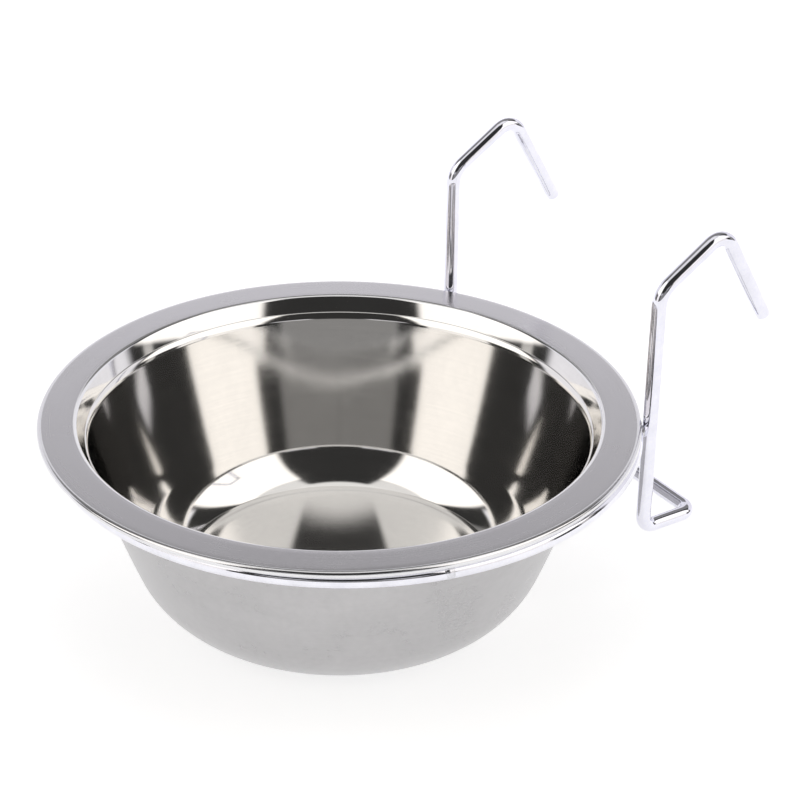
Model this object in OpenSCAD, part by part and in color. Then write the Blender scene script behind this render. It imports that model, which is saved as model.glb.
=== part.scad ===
// Hook-on cage bowl: a flanged steel bowl that drops into a wire holder.
// The holder is a round wire ring spot-welded to one bent wire, which makes
// two hooks for a cage wall, two uprights and a low spacer bar.
// +Z is up, the cage wall is on the +Y side, the bowl is on the -Y side.
// The origin is the centre of the rail that the two hooks hold, midway between them.

/* [Bowl] */
// Outside radius of the rim
rim_r = 80; // [78:0.5:82]
// Radius of the mouth, inside the flange
mouth_r = 69.2; // [68.6:0.1:70]
// Depth from the top of the rim to the foot
bowl_h = 53.7; // [52.5:0.1:55]
// Sheet thickness
sheet_t = 0.8; // [0.6:0.1:0.9]
// Thickness of the folded hem at the rim
hem_t = 1.9; // [1.8:0.1:2.2]
// Width of the folded hem under the flange
hem_w = 4.4; // [3.6:0.1:5]
// Radius of the rounded lip at the mouth
lip_r = 1.2; // [1:0.1:1.5]
// Lean of the neck between mouth and crease, in degrees
neck_lean = 32; // [28:1:36]
// Depth of the crease below the neck
crease_z = 4.6; // [4.4:0.1:5.4]
// Outside radius of the wall at the crease
wall_top_r = 68; // [67.6:0.1:68.4]
// Lean of the wall from upright below the crease, in degrees
lean_top = 15; // [14:0.1:16]
// Lean of the wall where the lower curve begins, in degrees
lean_low = 21; // [20:0.1:22]
// Depth at which the lower curve begins
curve_z = 41.5; // [41:0.1:42]
// Outside radius of the lower curve between wall and foot
curve_r = 23.5; // [23:0.1:24]

/* [Bowl floor] */
// Height of the raised floor disc above the foot
disc_h = 4.2; // [3.6:0.1:4.6]
// Width of the flat band round the disc
disc_band = 2.6; // [2:0.1:4]
// Drop of the dished centre below the band
dish_drop = 0.9; // [0.6:0.1:1.2]

/* [Wire holder] */
// Wire diameter of ring and hanger
wire_d = 4; // [3.8:0.1:4.2]
// Distance of the ring's centreline inside the rim's edge
ring_inset = 2.7; // [2.5:0.1:2.8]
// Distance of the ring's centre from the bowl's, towards the wall
ring_shift = 1.6; // [1.5:0.1:1.9]
// Clearance between hem and ring
seat_gap = 0.3; // [0.3:0.05:0.6]
// Depth that each spot weld presses the wires together
weld_sink = 0.2; // [0.1:0.05:0.25]
// Half the distance between the uprights
upright_x = 47; // [42:0.5:50]

/* [Hooks] */
// Height of the upright's upper bend above the rim
shoulder_z = 36.4; // [32:0.1:40]
// Height of the hook's top bend above the rim
peak_z = 49.2; // [46:0.1:54]
// Reach from upright to the hook's top bend
peak_reach = 20; // [18:0.1:23]
// Reach from upright to the hook's tip
tip_reach = 36.4; // [34:0.1:39]
// Height of the hook's tip above the rim
tip_z = 20.8; // [18:0.1:24]
// Centreline radius of the hook's top bend
peak_bend_r = 5; // [4.5:0.1:6]
// Centreline radius of the upright's upper bend
shoulder_bend_r = 7; // [5:0.1:9]

/* [Spacer bar] */
// Depth of the bar below the rim
bar_z = 34; // [30:0.1:38]
// Reach from upright to the bar
bar_reach = 17; // [15:0.1:20]
// Centreline radius of the bends beside the bar
bar_bend_r = 3.6; // [3:0.1:4]

/* [Hidden] */
$fn = 96;
wire_fn = 28;
lap = 0.3;
bend_swell = 0.03;
tip_inset = 0.02;
wire_r = wire_d / 2;
hem_r = hem_t / 2;
ring_r = rim_r - ring_inset;
ring_z = -hem_t - seat_gap - wire_r;
reach = ring_r + wire_d - weld_sink;
upright_y = ring_shift + sqrt(reach ^ 2 - upright_x ^ 2);
upright_turn = atan2(upright_y - ring_shift, upright_x);
tip_cut = 0.4;
weld_r = 1.7;
weld_l = 2.2;
butt_bulge = 0.18;
butt_sweep = 1.6;
butt_turn = -14;
lip_steps = 8;
curve_steps = 20;
wall_steps = 8;
dish_steps = 6;
crease_step = 0.3;
disc_slope = 0.6;
band_step = 0.3;

// points of the hook's side view, as [distance from the bowl's centre, height above the rim]
tip = [upright_y + tip_reach, tip_z];
peak = [upright_y + peak_reach, peak_z];
shoulder = [upright_y, shoulder_z];
low = [upright_y, -bar_z];
bar = [upright_y + bar_reach, -bar_z];

function unit(v) = v / norm(v);
function left(v) = [-v.y, v.x];
function heading(v) = atan2(v.y, v.x);
function turn(a, b, c) =
    let (p = unit(b - a), q = unit(c - b)) atan2(p.x * q.y - p.y * q.x, p * q);
function trim(a, b, c, r) = r * tan(abs(turn(a, b, c)) / 2);
function bend_centre(a, b, c, r) =
    b - unit(b - a) * trim(a, b, c, r) + left(unit(b - a)) * r * sign(turn(a, b, c));
function arc(centre, r, from, to, steps) =
    [for (i = [0:steps]) let (t = from + (to - from) * i / steps) centre + r * [cos(t), sin(t)]];

rail = bend_centre(tip, peak, shoulder, peak_bend_r);

// the wall is a shallow arc, tangent to the tighter lower curve that ends at the foot
wall_r = (curve_z - crease_z) / (sin(lean_low) - sin(lean_top));
wall_c = [wall_top_r - wall_r * cos(lean_top), wall_r * sin(lean_top) - crease_z];
curve_c = wall_c + (wall_r - curve_r) * [cos(lean_low), -sin(lean_low)];
foot_turn = -asin((bowl_h + curve_c.y) / curve_r);
foot_r = curve_c.x + curve_r * cos(foot_turn);
groove = curve_c + (curve_r - sheet_t) * [cos(foot_turn), sin(foot_turn)];
disc_z = disc_h - bowl_h;
disc_r = groove.x - disc_slope;
dish_r = disc_r - disc_band;
lip_c = [mouth_r + lip_r, -lip_r];
neck_end = wall_c + (wall_r - sheet_t) * [cos(lean_top), -sin(lean_top)];

inside = concat(
    [for (i = [0:dish_steps])
        let (k = i / dish_steps) [dish_r * k, disc_z - band_step - dish_drop * (1 - k ^ 2)]],
    [[dish_r + band_step, disc_z], [disc_r, disc_z], [groove.x, disc_z - disc_slope]],
    arc(curve_c, curve_r - sheet_t, foot_turn, -lean_low, curve_steps),
    arc(wall_c, wall_r - sheet_t, -lean_low, -lean_top, wall_steps),
    [neck_end + crease_step * [1, 1]],
    arc(lip_c, lip_r, 180 - neck_lean, 90, lip_steps)
);
hem = concat(
    arc([rim_r - hem_r, -hem_r], hem_r, 90, -90, lip_steps),
    [[rim_r - hem_w, -hem_t], [rim_r - hem_w, -sheet_t]]
);
outside = concat(
    arc(lip_c, lip_r - sheet_t, 90, 180 - neck_lean, lip_steps),
    arc(wall_c, wall_r, -lean_top, -lean_low, wall_steps),
    arc(curve_c, curve_r, -lean_low, foot_turn, curve_steps),
    [
        [disc_r - disc_slope, -bowl_h],
        [disc_r - 2 * disc_slope, disc_z - sheet_t],
        [dish_r + band_step, disc_z - sheet_t]
    ],
    [for (i = [dish_steps:-1:0])
        let (k = i / dish_steps)
        [dish_r * k, disc_z - sheet_t - band_step - dish_drop * (1 - k ^ 2)]]
);

module place() {
    translate([0, -rail.x, -rail.y]) children();
}

// straight wire between two points of a flat drawing, shortened at both ends,
// with a small lap into what it joins
module leg(a, b, cut_a, cut_b) {
    p = a + unit(b - a) * (cut_a - lap);
    translate([p.x, p.y, 0])
        rotate([0, 0, heading(b - a)])
            rotate([0, 90, 0])
                cylinder(r = wire_r, h = norm(b - a) - cut_a - cut_b + 2 * lap);
}

// bent wire at point b of the path a, b, c of a flat drawing, swollen a little by the bending
module bend(a, b, c, r) {
    t = turn(a, b, c);
    m = bend_centre(a, b, c, r);
    from = t > 0 ? heading(-left(unit(b - a))) : heading(left(unit(c - b)));
    translate([m.x, m.y, 0])
        rotate([0, 0, from])
            rotate_extrude(angle = abs(t))
                translate([r, 0])
                    circle(r = wire_r + bend_swell);
}

// cut end of the wire, with a small chamfer
module cut_end(a, b) {
    translate([a.x, a.y, 0])
        rotate([0, 0, heading(b - a)])
            rotate([0, 90, 0])
                cylinder(r1 = wire_r - tip_cut, r2 = wire_r - tip_inset, h = tip_cut + lap);
}

module hook_side() {
    $fn = wire_fn;
    trim_peak = trim(tip, peak, shoulder, peak_bend_r);
    trim_shoulder = trim(peak, shoulder, low, shoulder_bend_r);
    rotate([90, 0, 90]) {
        cut_end(tip, peak);
        leg(tip, peak, tip_cut + lap, trim_peak);
        bend(tip, peak, shoulder, peak_bend_r);
        leg(peak, shoulder, trim_peak, trim_shoulder);
        bend(peak, shoulder, low, shoulder_bend_r);
        leg(shoulder, low, trim_shoulder, bar_bend_r);
        bend(shoulder, low, bar, bar_bend_r);
        leg(low, bar, bar_bend_r, bar_bend_r);
    }
    translate([-bar_bend_r, bar.x - bar_bend_r, bar.y])
        rotate_extrude(angle = 90)
            translate([bar_bend_r, 0])
                circle(r = wire_r + bend_swell);
}

module spot_weld() {
    place()
        translate([0, ring_shift, ring_z])
            rotate([0, 0, upright_turn])
                translate([ring_r + wire_r - weld_sink / 2 - weld_l / 2, 0, 0])
                    rotate([0, 90, 0])
                        cylinder(r = weld_r, h = weld_l);
}

module bowl() {
    color([0.74, 0.74, 0.76])
        place()
            rotate_extrude()
                polygon(concat(inside, hem, outside));
}

module support_ring() {
    color([0.85, 0.86, 0.9])
        place()
            translate([0, ring_shift, ring_z])
                rotate_extrude()
                    translate([ring_r, 0])
                        circle(r = wire_r, $fn = wire_fn);
}

module hanger_wire() {
    color([0.85, 0.86, 0.9])
        place() {
            for (side = [0, 1])
                mirror([side, 0, 0])
                    translate([upright_x, 0, 0])
                        hook_side();
            translate([bar_bend_r - upright_x - lap, bar.x, bar.y])
                rotate([0, 90, 0])
                    cylinder(r = wire_r, h = 2 * (upright_x - bar_bend_r + lap), $fn = wire_fn);
        }
}

module weld_right() {
    color([0.62, 0.63, 0.66]) spot_weld();
}

module weld_left() {
    color([0.62, 0.63, 0.66])
        mirror([1, 0, 0])
            spot_weld();
}

module ring_butt_weld() {
    color([0.62, 0.63, 0.66])
        place()
            translate([0, ring_shift, ring_z])
                rotate([0, 0, butt_turn])
                    rotate_extrude(angle = butt_sweep)
                        translate([ring_r, 0])
                            circle(r = wire_r + butt_bulge);
}

bowl();
support_ring();
hanger_wire();
weld_left();
weld_right();
ring_butt_weld();
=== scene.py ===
import math

import bmesh
import bpy
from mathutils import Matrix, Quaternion, Vector, noise


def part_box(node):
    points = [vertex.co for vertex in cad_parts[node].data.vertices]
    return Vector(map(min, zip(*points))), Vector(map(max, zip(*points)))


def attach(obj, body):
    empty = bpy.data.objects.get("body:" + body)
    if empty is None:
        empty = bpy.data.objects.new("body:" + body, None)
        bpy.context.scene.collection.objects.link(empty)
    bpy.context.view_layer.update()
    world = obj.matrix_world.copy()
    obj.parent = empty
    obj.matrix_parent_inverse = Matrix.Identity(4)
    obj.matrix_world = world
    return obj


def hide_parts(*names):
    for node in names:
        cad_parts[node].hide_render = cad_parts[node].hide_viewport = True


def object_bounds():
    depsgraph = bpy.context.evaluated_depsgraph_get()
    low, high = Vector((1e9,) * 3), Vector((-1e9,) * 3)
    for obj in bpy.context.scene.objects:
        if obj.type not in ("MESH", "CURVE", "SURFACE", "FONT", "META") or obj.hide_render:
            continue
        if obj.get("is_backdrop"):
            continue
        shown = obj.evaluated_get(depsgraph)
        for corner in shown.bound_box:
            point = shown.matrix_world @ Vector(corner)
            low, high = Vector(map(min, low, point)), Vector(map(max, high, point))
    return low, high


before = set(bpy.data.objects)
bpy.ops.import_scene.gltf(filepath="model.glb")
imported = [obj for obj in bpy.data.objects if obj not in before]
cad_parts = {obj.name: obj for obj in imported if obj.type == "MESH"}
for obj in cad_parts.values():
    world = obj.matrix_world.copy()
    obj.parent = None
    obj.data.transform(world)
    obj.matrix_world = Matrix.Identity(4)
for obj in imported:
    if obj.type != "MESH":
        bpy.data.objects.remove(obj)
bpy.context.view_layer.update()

MM = 0.001
DEG = 180 / math.pi

# ---------------------------------------------------------------- places taken from the frame
b_lo, b_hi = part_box("bowl")
r_lo, r_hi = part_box("support_ring")
BOWL_C = Vector(((b_lo.x + b_hi.x) / 2, (b_lo.y + b_hi.y) / 2, b_hi.z))      # rim centre, rim top
RING_C = Vector(((r_lo.x + r_hi.x) / 2, (r_lo.y + r_hi.y) / 2, (r_lo.z + r_hi.z) / 2))
FOOT_Z = b_lo.z

# ---------------------------------------------------------------- sizes of the real object, in mm
RIM_R, MOUTH_R, SHEET, HEM_T, HEM_W, LIP_R = 80.0, 69.2, 0.8, 1.9, 4.4, 1.2
NECK_A = math.pi - math.radians(32)      # angle where the lip's arc meets the leaning neck
CREASE_Z, WALL_R, LEAN_TOP, LEAN_LOW = 4.6, 68.0, math.radians(15), math.radians(21)
CURVE_Z, CURVE_R, BOWL_H = 41.5, 23.5, 53.7
DISC_H, DISC_BAND, DISH_DROP, DISC_SLOPE, BAND_STEP = 4.2, 2.6, 0.9, 0.6, 0.25
WIRE_R, RING_R, WELD_SINK = 2.0, 77.3, 0.2
UPRIGHT_X, SHOULDER_Z, PEAK_Z, PEAK_REACH = 47.0, 36.4, 49.2, 20.0
TIP_REACH, TIP_Z, BAR_Z, BAR_REACH = 36.4, 20.8, 34.0, 17.0
PEAK_BEND, SHOULDER_BEND, BAR_BEND = 5.0, 7.0, 3.6
SHIFT = (RING_C.y - BOWL_C.y) / MM
REACH = RING_R + 2 * WIRE_R - WELD_SINK
UPRIGHT_Y = SHIFT + math.sqrt(REACH ** 2 - UPRIGHT_X ** 2)


# ---------------------------------------------------------------- mesh helpers
def mesh_object(name, verts, faces, zones=None):
    me = bpy.data.meshes.new(name)
    me.from_pydata(verts, [], faces)
    me.update()
    me.polygons.foreach_set("use_smooth", [True] * len(me.polygons))
    if zones:
        me.polygons.foreach_set("material_index", zones)
    ob = bpy.data.objects.new(name, me)
    bpy.context.scene.collection.objects.link(ob)
    return ob


def face_outward(ob):
    bm = bmesh.new()
    bm.from_mesh(ob.data)
    bmesh.ops.recalc_face_normals(bm, faces=bm.faces)
    bm.to_mesh(ob.data)
    bm.free()


def arc(cx, cz, r, a0, a1, n):
    return [(cx + r * math.cos(a0 + (a1 - a0) * i / n), cz + r * math.sin(a0 + (a1 - a0) * i / n))
            for i in range(n + 1)]


def round_corners(path, radii, n=5):
    """Replaces the inner corners of an open (r, z) path by small arcs, as a pressed sheet has."""
    out = [path[0]]
    for i in range(1, len(path) - 1):
        rad = radii.get(i, 0.0)
        p, a, b = Vector(path[i]), Vector(path[i - 1]), Vector(path[i + 1])
        if rad <= 0:
            out.append(path[i])
            continue
        u, v = (a - p), (b - p)
        cut = min(rad, 0.45 * u.length, 0.45 * v.length)
        s, e = p + u.normalized() * cut, p + v.normalized() * cut
        for k in range(n + 1):
            t = k / n
            out.append(tuple(s * (1 - t) ** 2 + p * 2 * t * (1 - t) + e * t * t))
    out.append(path[-1])
    return out


def densify(path, step):
    """Adds points so that no stretch of a path is much longer than step."""
    out = [path[0]]
    for a, b in zip(path, path[1:]):
        d = math.dist(a, b)
        n = max(1, int(d / step))
        out += [(a[0] + (b[0] - a[0]) * k / n, a[1] + (b[1] - a[1]) * k / n) for k in range(1, n + 1)]
    return out


# ---------------------------------------------------------------- the bowl
SIDE_R = (CURVE_Z - CREASE_Z) / (math.sin(LEAN_LOW) - math.sin(LEAN_TOP))
SC = (WALL_R - SIDE_R * math.cos(LEAN_TOP), SIDE_R * math.sin(LEAN_TOP) - CREASE_Z)
CC = (SC[0] + (SIDE_R - CURVE_R) * math.cos(LEAN_LOW), SC[1] - (SIDE_R - CURVE_R) * math.sin(LEAN_LOW))
FOOT_A = -math.asin((BOWL_H + CC[1]) / CURVE_R)
GROOVE = (CC[0] + (CURVE_R - SHEET) * math.cos(FOOT_A), CC[1] + (CURVE_R - SHEET) * math.sin(FOOT_A))
DISC_Z, DISC_R = DISC_H - BOWL_H, GROOVE[0] - DISC_SLOPE
DISH_R = DISC_R - DISC_BAND
NECK_END = (SC[0] + (SIDE_R - SHEET) * math.cos(LEAN_TOP), SC[1] - (SIDE_R - SHEET) * math.sin(LEAN_TOP))
LIP_C = (MOUTH_R + LIP_R, -LIP_R)


def dish(z0, n=14):
    """Points of the shallow dished centre, from the axis out to its rim."""
    return [(DISH_R * i / n, z0 - BAND_STEP - DISH_DROP * (1 - (i / n) ** 2)) for i in range(n + 1)]


floor_in = dish(DISC_Z) + [(DISH_R + 0.5, DISC_Z)]
band_in = [floor_in[-1], (DISC_R, DISC_Z), (GROOVE[0] - 0.05, GROOVE[1] + 0.55), GROOVE]
band_in = round_corners(band_in, {1: 0.9, 2: 0.7}, 7)
wall_in = arc(CC[0], CC[1], CURVE_R - SHEET, FOOT_A, -LEAN_LOW, 30)
wall_in += arc(SC[0], SC[1], SIDE_R - SHEET, -LEAN_LOW, -LEAN_TOP, 16)[1:]
lip_in = arc(LIP_C[0], LIP_C[1], LIP_R, NECK_A, math.pi / 2, 10)
neck_in = round_corners([NECK_END, (NECK_END[0] + 0.26, NECK_END[1] + 0.08),
                         (NECK_END[0] + 0.38, NECK_END[1] + 0.34), lip_in[0]], {1: 0.14, 2: 0.25}, 5)
flange_top = densify([lip_in[-1], (RIM_R - HEM_T / 2 - 0.35, 0.0)], 1.5)
HR = HEM_T / 2
hem_edge = [flange_top[-1], (RIM_R - HR - 0.05, -0.01)]
hem_edge += arc(RIM_R - HR, -HR, HR, math.pi / 2 * 0.97, -math.pi / 2, 14)
HEM_IN, HEM_SLIT = RIM_R - HEM_W, 1.2        # the hem's inner edge, and the slit above the folded layer
hem_under = [hem_edge[-1], (HEM_IN + 0.25, -HEM_T), (HEM_IN, -HEM_T + 0.25), (HEM_IN, -SHEET - 0.22),
             (HEM_IN + HEM_SLIT, -SHEET - 0.16), (HEM_IN + HEM_SLIT, -SHEET)]
flange_under = densify([hem_under[-1], (LIP_C[0], -SHEET)], 1.5)
lip_out = arc(LIP_C[0], LIP_C[1], LIP_R - SHEET, math.pi / 2, NECK_A, 8)
wall_out = arc(SC[0], SC[1], SIDE_R, -LEAN_TOP, -LEAN_LOW, 16)
wall_out += arc(CC[0], CC[1], CURVE_R, -LEAN_LOW, FOOT_A, 30)[1:]
neck_out = round_corners([lip_out[-1], (WALL_R + 0.3, -CREASE_Z + 0.5), wall_out[0]], {1: 0.3}, 4)
foot_out = round_corners([wall_out[-1], (DISC_R - DISC_SLOPE, -BOWL_H),
                          (DISC_R - 2 * DISC_SLOPE, DISC_Z - SHEET),
                          (DISH_R + 0.4, DISC_Z - SHEET)], {1: 0.8, 2: 0.6}, 6)
floor_out = [foot_out[-1]] + [(r, z - SHEET) for r, z in reversed(dish(DISC_Z))]

ZONES = [("floor", floor_in), ("floor", band_in), ("wall", wall_in), ("neck", neck_in), ("lip", lip_in),
         ("flange", flange_top), ("hem", hem_edge), ("hem", hem_under), ("under", flange_under),
         ("under", lip_out), ("outer", neck_out), ("outer", wall_out), ("outer", foot_out),
         ("under", floor_out)]
ZONE_MATS = ["floor", "wall", "neck", "lip", "flange", "hem", "under", "outer"]


def lathe(name, zones, seg):
    """Turns the joined (r, z) paths about the bowl's axis, each path with its own material zone."""
    path, kind = [zones[0][1][0]], []
    for zone, pts in zones:
        for p in pts[1:] if math.dist(pts[0], path[-1]) < 1e-6 else pts:
            if math.dist(p, path[-1]) < 1e-5:
                continue
            path.append(p)
            kind.append(ZONE_MATS.index(zone))
    verts, faces, idx = [], [], []
    rows = []
    for r, z in path:
        if r < 1e-6:
            rows.append([len(verts)])
            verts.append((BOWL_C.x, BOWL_C.y, BOWL_C.z + z * MM))
            continue
        rows.append(list(range(len(verts), len(verts) + seg)))
        for s in range(seg):
            a = 2 * math.pi * s / seg
            verts.append((BOWL_C.x + r * MM * math.cos(a), BOWL_C.y + r * MM * math.sin(a),
                          BOWL_C.z + z * MM))
    for k in range(len(path) - 1):
        a, b = rows[k], rows[k + 1]
        for s in range(seg):
            t = (s + 1) % seg
            if len(a) == 1:
                faces.append((a[0], b[s], b[t]))
            elif len(b) == 1:
                faces.append((a[s], b[0], a[t]))
            else:
                faces.append((a[s], b[s], b[t], a[t]))
            idx.append(kind[k])
    return mesh_object(name, verts, faces, idx)


SEG = 288
bowl = lathe("bowl_shell", ZONES, SEG)
face_outward(bowl)


# ---------------------------------------------------------------- bent wire
def fillet_path(points, radii, step=0.6):
    """A 3-D path through points with true arcs of the given radii at its inner points."""
    out = [points[0]]
    for i in range(1, len(points) - 1):
        p, a, b = points[i], points[i - 1], points[i + 1]
        u, v = (a - p).normalized(), (b - p).normalized()
        half = u.angle(v) / 2
        cut = radii[i - 1] / math.tan(half)
        mid = p + (u + v).normalized() * (radii[i - 1] / math.sin(half))
        s, e = p + u * cut, p + v * cut
        n = max(6, int(radii[i - 1] * (math.pi - 2 * half) / step))
        axis = (s - mid).cross(e - mid).normalized()
        ang = (s - mid).angle(e - mid)
        for k in range(n + 1):
            out.append(mid + Quaternion(axis, ang * k / n) @ (s - mid))
    out.append(points[-1])
    dense = [out[0]]
    for a, b in zip(out, out[1:]):
        n = max(1, int((b - a).length / 2.5))
        dense += [a.lerp(b, k / n) for k in range(1, n + 1)]
    return dense


def sweep(name, path, radius, sides, closed=False, shape=None):
    """A round tube along a path in mm about the bowl's rim centre; shape(i, angle) scales its radius."""
    n = len(path)
    verts, faces, tang = [], [], []
    for i in range(n):
        a = path[(i - 1) % n] if closed or i > 0 else path[i]
        b = path[(i + 1) % n] if closed or i < n - 1 else path[i]
        tang.append((b - a).normalized())
    ref = Vector((0, 0, 1)) if abs(tang[0].z) < 0.9 else Vector((1, 0, 0))
    nrm = (ref - tang[0] * ref.dot(tang[0])).normalized()
    for i in range(n):
        nrm = (nrm - tang[i] * nrm.dot(tang[i])).normalized()
        bi = tang[i].cross(nrm)
        for s in range(sides):
            t = 2 * math.pi * s / sides
            rr = radius * (shape(i, t) if shape else 1.0)
            verts.append(path[i] + (nrm * math.cos(t) + bi * math.sin(t)) * rr)
    rings = n if closed else n - 1
    for i in range(rings):
        j = (i + 1) % n
        for s in range(sides):
            t = (s + 1) % sides
            faces.append((i * sides + s, i * sides + t, j * sides + t, j * sides + s))
    if not closed:
        faces.append(tuple(range(sides - 1, -1, -1)))
        faces.append(tuple(range((n - 1) * sides, n * sides)))
    ob = mesh_object(name, [tuple(BOWL_C + v * MM) for v in verts], faces)
    if not closed:
        ob.data.polygons[len(faces) - 1].use_smooth = False
        ob.data.polygons[len(faces) - 2].use_smooth = False
    return ob


def side_path(sign):
    """Corner points of one side of the hanger, from the hook's tip to the spacer bar."""
    u = UPRIGHT_Y
    x = sign * UPRIGHT_X
    return [Vector((x, u + TIP_REACH, TIP_Z)), Vector((x, u + PEAK_REACH, PEAK_Z)),
            Vector((x, u, SHOULDER_Z)), Vector((x, u, -BAR_Z)), Vector((x, u + BAR_REACH, -BAR_Z))]


hang_pts = side_path(1) + list(reversed(side_path(-1)))
hang_path = fillet_path(hang_pts, [PEAK_BEND, SHOULDER_BEND, BAR_BEND, BAR_BEND,
                                   BAR_BEND, BAR_BEND, SHOULDER_BEND, PEAK_BEND])

def with_ends(path):
    """Adds two short steps at each cut end, for its chamfer."""
    a = (path[1] - path[0]).normalized()
    b = (path[-2] - path[-1]).normalized()
    head = [path[0], path[0] + a * 0.12, path[0] + a * 0.42]
    tail = [path[-1] + b * 0.42, path[-1] + b * 0.12, path[-1]]
    return head + path[1:-1] + tail


hang_path = with_ends(hang_path)
HN = len(hang_path)


def hang_shape(i, t):
    k = min(i, HN - 1 - i)
    end = {0: 0.80, 1: 0.90, 2: 0.995}.get(k, 1.0)
    p = hang_path[i]
    n = noise.noise(Vector((p.x * 0.05, p.y * 0.05, p.z * 0.05))
                    + Vector((math.cos(t), math.sin(t), 0)) * 0.25)
    return end * (1 + 0.004 * n)


RING_STEPS, WIRE_SIDES = 360, 40
ring_rel = RING_C - BOWL_C
ring_path = [Vector((ring_rel.x / MM + RING_R * math.cos(2 * math.pi * i / RING_STEPS),
                     ring_rel.y / MM + RING_R * math.sin(2 * math.pi * i / RING_STEPS), ring_rel.z / MM))
             for i in range(RING_STEPS)]
hanger = sweep("hanger_bent_wire", hang_path, WIRE_R, WIRE_SIDES, shape=hang_shape)
ring = sweep("ring_wire", ring_path, WIRE_R, WIRE_SIDES, closed=True)


# ---------------------------------------------------------------- welds
def weld_bead(name, sign):
    """The squeezed-out metal of a cross-wire spot weld: a low lens with a ripple."""
    ang = math.atan2(UPRIGHT_Y - SHIFT, UPRIGHT_X)
    rad = Vector((math.cos(ang) * sign, math.sin(ang), 0))
    tan = Vector((-math.sin(ang) * sign, math.cos(ang), 0))
    up = Vector((0, 0, 1))
    mid = ring_rel / MM + rad * (RING_R + WIRE_R - 0.1)
    verts, faces, rows, cols = [], [], 14, 32
    for i in range(rows + 1):
        lat = math.pi * i / rows
        for j in range(cols):
            lon = 2 * math.pi * j / cols
            d = tan * (math.sin(lat) * math.cos(lon)) + up * (math.sin(lat) * math.sin(lon))
            d += rad * math.cos(lat)
            w = 1 + 0.07 * noise.noise(d * 1.9 + Vector((sign * 3.0, 0, 0))) + 0.015 * math.cos(5 * lat)
            q = tan * d.dot(tan) * 1.75 + up * d.dot(up) * 1.75 + rad * d.dot(rad) * 1.15
            verts.append(tuple(BOWL_C + (mid + q * w) * MM))
    for i in range(rows):
        for j in range(cols):
            k = (j + 1) % cols
            faces.append((i * cols + j, (i + 1) * cols + j, (i + 1) * cols + k, i * cols + k))
    return mesh_object(name, verts, faces)


weld_r = weld_bead("weld_bead_right", 1)
weld_l = weld_bead("weld_bead_left", -1)

lo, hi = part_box("ring_butt_weld")
butt_mid = math.atan2((lo.y + hi.y) / 2 - RING_C.y, (lo.x + hi.x) / 2 - RING_C.x)
butt_n = 13
butt_half = math.radians(1.1)
butt_path = []
for i in range(butt_n):
    a = butt_mid + butt_half * (2 * i / (butt_n - 1) - 1)
    butt_path.append(ring_rel / MM + Vector((RING_R * math.cos(a), RING_R * math.sin(a), 0)))


def butt_shape(i, t):
    x = 2 * i / (butt_n - 1) - 1
    bump = 0.045 * math.exp(-(x / 0.42) ** 2) + 0.012 * math.exp(-((abs(x) - 0.75) / 0.12) ** 2)
    rough = 0.018 * noise.noise(Vector((math.cos(t) * 1.4, math.sin(t) * 1.4, x * 2.0)))
    return 0.992 + bump + rough * (1 - x * x)


butt = sweep("ring_butt_bead", butt_path, WIRE_R, WIRE_SIDES, shape=butt_shape)
for ob in (ring, hanger, weld_r, weld_l, butt):
    face_outward(ob)


# ---------------------------------------------------------------- materials
class Nodes:
    """Wires the shader nodes of a material or a world."""

    def __init__(self, tree):
        self.t = tree
        self.t.nodes.clear()

    def n(self, kind, **props):
        node = self.t.nodes.new(kind)
        for k, v in props.items():
            setattr(node, k, v)
        return node

    def link(self, a, b):
        self.t.links.new(a, b)

    def put(self, node, socket, value):
        if hasattr(value, "links"):
            self.link(value, node.inputs[socket])
        else:
            node.inputs[socket].default_value = value

    def math(self, op, a, b=0.0, clamp=False):
        node = self.n("ShaderNodeMath", operation=op, use_clamp=clamp)
        self.put(node, 0, a)
        self.put(node, 1, b)
        return node.outputs[0]

    def rescale(self, v, f0, f1, t0, t1):
        node = self.n("ShaderNodeMapRange")
        for i, x in enumerate((v, f0, f1, t0, t1)):
            self.put(node, i, x)
        return node.outputs[0]

    def noise(self, vec, scale, detail=4.0, rough=0.55, dist=0.0):
        node = self.n("ShaderNodeTexNoise")
        self.put(node, "Vector", vec)
        self.put(node, "Scale", scale)
        self.put(node, "Detail", detail)
        self.put(node, "Roughness", rough)
        self.put(node, "Distortion", dist)
        return node.outputs["Fac"]

    def mixc(self, f, a, b):
        node = self.n("ShaderNodeMix", data_type="RGBA")
        self.put(node, 0, f)
        self.put(node, 6, a)
        self.put(node, 7, b)
        return node.outputs[2]

    def bump(self, h, strength, dist, normal=None):
        node = self.n("ShaderNodeBump")
        self.put(node, "Strength", strength)
        self.put(node, "Distance", dist)
        self.put(node, "Height", h)
        if normal is not None:
            self.put(node, "Normal", normal)
        return node.outputs[0]

    def cyl(self, centre):
        """Place about the bowl's centre, radius and height, in metres."""
        tc = self.n("ShaderNodeTexCoord")
        sub = self.n("ShaderNodeVectorMath", operation="SUBTRACT")
        self.link(tc.outputs["Object"], sub.inputs[0])
        sub.inputs[1].default_value = centre
        sep = self.n("ShaderNodeSeparateXYZ")
        self.link(sub.outputs[0], sep.inputs[0])
        x, y, z = sep.outputs
        r = self.math("SQRT", self.math("ADD", self.math("MULTIPLY", x, x), self.math("MULTIPLY", y, y)))
        return sub.outputs[0], r, z

    def ring_coords(self, r, z, x_y_vec, along, across):
        """Stretches noise along the circle: fine across the grain, long along it."""
        com = self.n("ShaderNodeCombineXYZ")
        sep = self.n("ShaderNodeSeparateXYZ")
        self.link(x_y_vec, sep.inputs[0])
        self.link(self.math("MULTIPLY", r, across), com.inputs[0])
        self.link(self.math("MULTIPLY", z, across), com.inputs[1])
        a = self.math("ARCTAN2", sep.outputs[1], sep.outputs[0])
        self.link(self.math("MULTIPLY", self.math("SINE", a), along), com.inputs[2])
        return com.outputs[0]


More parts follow.
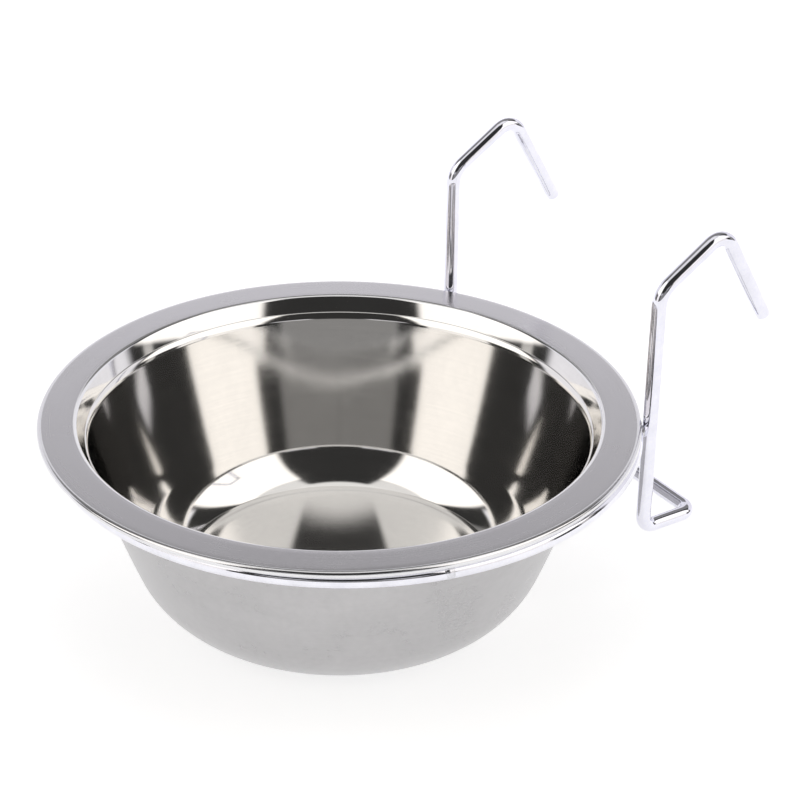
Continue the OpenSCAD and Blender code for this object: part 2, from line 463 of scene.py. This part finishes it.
class Mat(Nodes):
    """A material with one principled shader."""

    def __init__(self, name):
        self.m = bpy.data.materials.new(name)
        self.m.use_nodes = True
        super().__init__(self.m.node_tree)
        self.out = self.n("ShaderNodeOutputMaterial")
        self.bsdf = self.n("ShaderNodeBsdfPrincipled")
        self.link(self.bsdf.outputs[0], self.out.inputs["Surface"])


def steel(name, base, dark, rough, aniso, grain, mottle, wave=0.0, scratch=0.0):
    """Stainless sheet: turned grain round the axis, cloudy polish, a few scratches, slight waviness."""
    m = Mat(name)
    vec, r, z = m.cyl(tuple(BOWL_C))
    fine = m.noise(m.ring_coords(r, z, vec, 2.2, 5200.0), 1.0, 3.0, 0.7)
    mid = m.noise(m.ring_coords(r, z, vec, 3.5, 1100.0), 1.0, 2.0, 0.6)
    cloud = m.noise(vec, 42.0, 5.0, 0.6, 0.4)
    speck = m.noise(vec, 520.0, 2.0, 0.5)
    lines = m.math("ADD", m.math("MULTIPLY", fine, 0.6), m.math("MULTIPLY", mid, 0.4))
    blotch = m.math("ADD", m.math("MULTIPLY", cloud, 0.7), m.math("MULTIPLY", speck, 0.3))
    tone = m.math("ADD", m.math("MULTIPLY", lines, grain), m.math("MULTIPLY", blotch, 1 - grain))
    m.put(m.bsdf, "Base Color", m.mixc(m.rescale(tone, 0.32, 0.68, 0.0, 1.0), (*dark, 1), (*base, 1)))
    m.put(m.bsdf, "Metallic", 1.0)
    rv = m.math("ADD", m.rescale(lines, 0.3, 0.7, rough * (1 - 0.35 * grain), rough * (1 + 0.35 * grain)),
                m.rescale(blotch, 0.3, 0.7, -mottle, mottle))
    m.put(m.bsdf, "Roughness", m.math("MAXIMUM", rv, 0.02))
    m.put(m.bsdf, "Anisotropic", aniso)
    tan = m.n("ShaderNodeTangent", direction_type="RADIAL", axis="Z")
    m.link(tan.outputs[0], m.bsdf.inputs["Tangent"])
    nrm = m.bump(lines, 0.10 * grain + 0.02, 0.00002)
    if wave > 0:
        nrm = m.bump(m.noise(vec, 30.0, 1.0, 0.4), wave, 0.0006, nrm)
    if scratch > 0:
        w = m.n("ShaderNodeTexWave", bands_direction="DIAGONAL")
        m.put(w, "Vector", vec)
        m.put(w, "Scale", 60.0)
        m.put(w, "Distortion", 26.0)
        m.put(w, "Detail", 1.0)
        m.put(w, "Detail Scale", 0.6)
        line = m.rescale(w.outputs["Fac"], 0.992, 1.0, 0.0, 1.0)
        mask = m.rescale(m.noise(vec, 75.0, 1.0), 0.6, 0.66, 0.0, 1.0)
        nrm = m.bump(m.math("MULTIPLY", line, mask), -scratch, 0.00005, nrm)
    m.link(nrm, m.bsdf.inputs["Normal"])
    return m.m


def chrome(name, base, dark, rough, spots):
    """Bright plated drawn wire: cloudy plating, tiny pits."""
    m = Mat(name)
    tc = m.n("ShaderNodeTexCoord")
    vec = tc.outputs["Object"]
    cloud = m.noise(vec, 160.0, 4.0, 0.6)
    pits = m.noise(vec, 1500.0, 2.0, 0.6)
    mix = m.math("ADD", m.math("MULTIPLY", cloud, 0.75), m.math("MULTIPLY", pits, 0.25))
    m.put(m.bsdf, "Base Color", m.mixc(m.rescale(mix, 0.3, 0.62, 0.0, 1.0), (*dark, 1), (*base, 1)))
    m.put(m.bsdf, "Metallic", 1.0)
    m.put(m.bsdf, "Roughness", m.rescale(mix, 0.3, 0.7, rough * 0.6, rough * 1.6))
    pit = m.rescale(pits, 0.62, 0.78, 0.0, 1.0)
    nrm = m.bump(cloud, 0.10, 0.0002)
    nrm = m.bump(pit, -spots, 0.00004, nrm)
    m.link(nrm, m.bsdf.inputs["Normal"])
    return m.m


MATS = {
    "floor": steel("steel_floor_polished", base=(0.86, 0.85, 0.835), dark=(0.78, 0.77, 0.76),
                   rough=0.13, aniso=0.35, grain=0.3, mottle=0.01, wave=0.10, scratch=0.25),
    "wall": steel("steel_wall_polished", base=(0.87, 0.855, 0.835), dark=(0.77, 0.76, 0.745),
                  rough=0.072, aniso=0.5, grain=0.5, mottle=0.015, wave=0.11, scratch=0.35),
    "neck": steel("steel_neck_bright", base=(0.84, 0.83, 0.82), dark=(0.74, 0.73, 0.72),
                  rough=0.075, aniso=0.3, grain=0.3, mottle=0.01, wave=0.03),
    "lip": steel("steel_lip_bright", base=(0.86, 0.86, 0.87), dark=(0.78, 0.78, 0.79),
                 rough=0.09, aniso=0.3, grain=0.3, mottle=0.01),
    "flange": steel("steel_flange_satin", base=(0.66, 0.652, 0.672), dark=(0.60, 0.594, 0.613),
                    rough=0.25, aniso=0.35, grain=0.45, mottle=0.03, wave=0.0, scratch=0.4),
    "hem": steel("steel_hem_bright", base=(0.80, 0.80, 0.82), dark=(0.68, 0.68, 0.70),
                 rough=0.12, aniso=0.3, grain=0.4, mottle=0.02),
    "under": steel("steel_underside", base=(0.66, 0.66, 0.68), dark=(0.55, 0.55, 0.57),
                   rough=0.30, aniso=0.2, grain=0.4, mottle=0.04),
    "outer": steel("steel_outside_satin", base=(0.54, 0.533, 0.54), dark=(0.44, 0.436, 0.443),
                   rough=0.30, aniso=0.35, grain=0.25, mottle=0.05, wave=0.03, scratch=0.5),
}
for z in ZONE_MATS:
    bowl.data.materials.append(MATS[z])
WIRE = chrome("chrome_wire_bright", (0.83, 0.83, 0.91), (0.74, 0.74, 0.81), 0.05, 0.25)
WIRE_RING = chrome("chrome_ring_bright", (0.84, 0.84, 0.90), (0.74, 0.74, 0.80), 0.06, 0.25)
BUTT = chrome("plated_butt_weld", (0.76, 0.76, 0.81), (0.52, 0.52, 0.55), 0.12, 0.8)
WELD = chrome("plated_weld", (0.66, 0.66, 0.69), (0.42, 0.42, 0.44), 0.20, 0.8)
hanger.data.materials.append(WIRE)
ring.data.materials.append(WIRE_RING)
for ob in (weld_r, weld_l):
    ob.data.materials.append(WELD)
butt.data.materials.append(BUTT)
for name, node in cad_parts.items():
    keep = {"bowl": MATS["outer"], "support_ring": WIRE_RING, "hanger_wire": WIRE}.get(name, WELD)
    node.data.materials.clear()
    node.data.materials.append(keep)

# ---------------------------------------------------------------- what rides on what
for piece, body, node, slot in ((bowl, "bowl", "bowl", "bowl_steel"),
                                (ring, "holder", "support_ring", "holder_wire"),
                                (hanger, "holder", "hanger_wire", "holder_wire"),
                                (weld_r, "holder", "weld_right", "weld"),
                                (weld_l, "holder", "weld_left", "weld"),
                                (butt, "holder", "ring_butt_weld", "weld")):
    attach(piece, body)
    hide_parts(node)

# ---------------------------------------------------------------- floor, light and camera
FLOOR_SIZE, FLOOR_GAP = 6.0, 0.0002
bpy.ops.mesh.primitive_plane_add(size=FLOOR_SIZE, location=(0, 0, FOOT_Z - FLOOR_GAP))
floor = bpy.context.active_object
floor.name = "studio_floor"
fm = Mat("studio_floor_pale")
fm.put(fm.bsdf, "Base Color", (0.6, 0.6, 0.6, 1))
fm.put(fm.bsdf, "Roughness", 0.9)
fm.put(fm.bsdf, "Emission Color", (1, 1, 1, 1))
fm.put(fm.bsdf, "Emission Strength", 0.66)
floor.data.materials.append(fm.m)
floor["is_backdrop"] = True

AZ, EL, DIST = math.radians(58.3), math.radians(28.8), 0.600
target = BOWL_C - Vector((0, 0, 0.001))
to_cam = Vector((math.sin(AZ) * math.cos(EL), -math.cos(AZ) * math.cos(EL), math.sin(EL)))
cam_data = bpy.data.cameras.new("camera")
cam = bpy.data.objects.new("camera", cam_data)
bpy.context.scene.collection.objects.link(cam)
cam.location = target + to_cam * DIST
cam.rotation_euler = (-to_cam).to_track_quat("-Z", "Y").to_euler()
cam_data.sensor_width = 36.0
cam_data.lens = 101.52
cam_data.shift_x = 0.076125
cam_data.shift_y = 0.016125
cam_data.clip_start = 0.01
cam_data.dof.use_dof = False
bpy.context.scene.camera = cam

# one soft light above the far side of the object
LIGHT_SIDE, LIGHT_BACK, LIGHT_UP, LIGHT_POWER = 1.4, 0.9, 1.5, 5
away = -to_cam.xy.normalized()
light_data = bpy.data.lights.new("top_soft", "AREA")
light_data.shape = "RECTANGLE"
light_data.size = light_data.size_y = LIGHT_SIDE
light_data.energy = LIGHT_POWER
light_data.color = (0.97, 0.98, 1.0)
soft = bpy.data.objects.new("top_soft", light_data)
bpy.context.scene.collection.objects.link(soft)
soft.location = target + Vector((away.x * LIGHT_BACK, away.y * LIGHT_BACK, LIGHT_UP))
soft.rotation_euler = (target - soft.location).to_track_quat("-Z", "Y").to_euler()
soft.visible_glossy = False      # its reflection is already in the studio's ceiling

# the studio round the object: white sweep behind, two tall soft boxes, a dim room behind the camera
world = bpy.data.worlds.new("studio")
bpy.context.scene.world = world
world.use_nodes = True
W = Nodes(world.node_tree)
wout = W.n("ShaderNodeOutputWorld")
wbg = W.n("ShaderNodeBackground")
W.link(wbg.outputs[0], wout.inputs["Surface"])
wdir = W.n("ShaderNodeTexCoord").outputs["Generated"]


def wdot(x, y, z):
    node = W.n("ShaderNodeVectorMath", operation="DOT_PRODUCT")
    W.link(wdir, node.inputs[0])
    node.inputs[1].default_value = (x, y, z)
    return node.outputs["Value"]


fwd = wdot(math.sin(AZ), -math.cos(AZ), 0)
side = wdot(math.cos(AZ), math.sin(AZ), 0)
az = W.math("MULTIPLY", W.math("ARCTAN2", side, fwd), DEG)
el = W.math("MULTIPLY", W.math("ARCSINE", wdot(0, 0, 1)), DEG)


def step_up(v, at, soft):
    node = W.n("ShaderNodeMapRange", interpolation_type="SMOOTHSTEP")
    for i, x in enumerate((v, at - soft, at + soft, 0.0, 1.0)):
        W.put(node, i, x)
    return node.outputs[0]


def window(v, lo, hi, soft):
    return W.math("MULTIPLY", step_up(v, lo, soft), W.math("SUBTRACT", 1.0, step_up(v, hi, soft)))


def zone(color, gain, az_lo, az_hi, el_lo, el_hi, soft=2.0, esoft=3.0, base=None):
    f = W.math("MULTIPLY", window(az, az_lo, az_hi, soft), window(el, el_lo, el_hi, esoft))
    f = W.math("MULTIPLY", f, gain)
    node = W.n("ShaderNodeVectorMath", operation="SCALE")
    node.inputs[0].default_value = color
    W.link(f, node.inputs["Scale"])
    if base is None:
        return node.outputs[0]
    add = W.n("ShaderNodeVectorMath", operation="ADD")
    W.link(base, add.inputs[0])
    W.link(node.outputs[0], add.inputs[1])
    return add.outputs[0]


def side_zone(sgn, color, gain, a0, a1, e0, e1, soft, esoft, base):
    """A zone on one side: sgn is 1 for the camera's right and -1 for its left."""
    lo, hi = sorted((sgn * a0, sgn * a1))
    return zone(color, gain, lo, hi, e0, e1, soft, esoft, base=base)


# LOW, HIGH, TOP and ROOF are elevations in degrees where one part of the studio gives way to the next
WARM, COOL, GREY = (1.0, 0.965, 0.925), (0.965, 0.95, 0.99), (1.0, 0.985, 0.97)
LOW, HIGH, TOP, ROOF = 17, 31.5, 62, 72
light = zone(GREY, 0.035, -200, 200, -90, 91)
for sgn, b0, b1, c0, c1 in ((1, 39, 78, 92, 97), (-1, 41, 72, 90, 96)):
    light = side_zone(sgn, COOL, 0.95, 106, 181, -90, HIGH, 3, 1.5, light)    # white sweep behind
    light = side_zone(sgn, WARM, 1.05, b0, b1, -12, LOW, 1.5, 1.5, light)     # soft box, seen low
    light = side_zone(sgn, WARM, 1.4, b0 - 3, 102, LOW, TOP, 2, 1.5, light)   # and its upper part
    light = side_zone(sgn, GREY, 0.22, 124, 181, HIGH, ROOF, 3, 3, light)     # dim ceiling behind
    light = side_zone(sgn, GREY, 0.85, 38, 124, TOP, ROOF, 3, 2, light)       # edge of the overhead light
    light = side_zone(sgn, WARM, 0.6, c0, c1, -10, LOW, 1.0, 3, light)        # a narrow gap of light
    light = side_zone(sgn, COOL, 0.75, 13, 31, 16, 20, 2, 1, light)           # far edge of the table
light = zone(GREY, 0.24, -27, 27, -90, LOW, 2, 1.5, base=light)               # table in front
light = zone(GREY, 0.90, -200, 200, ROOF, 120, 2, 2, base=light)              # overhead light
W.link(light, wbg.inputs[0])
wbg.inputs[1].default_value = 1.0
bpy.context.scene.view_settings.view_transform = "Standard"

lo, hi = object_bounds()
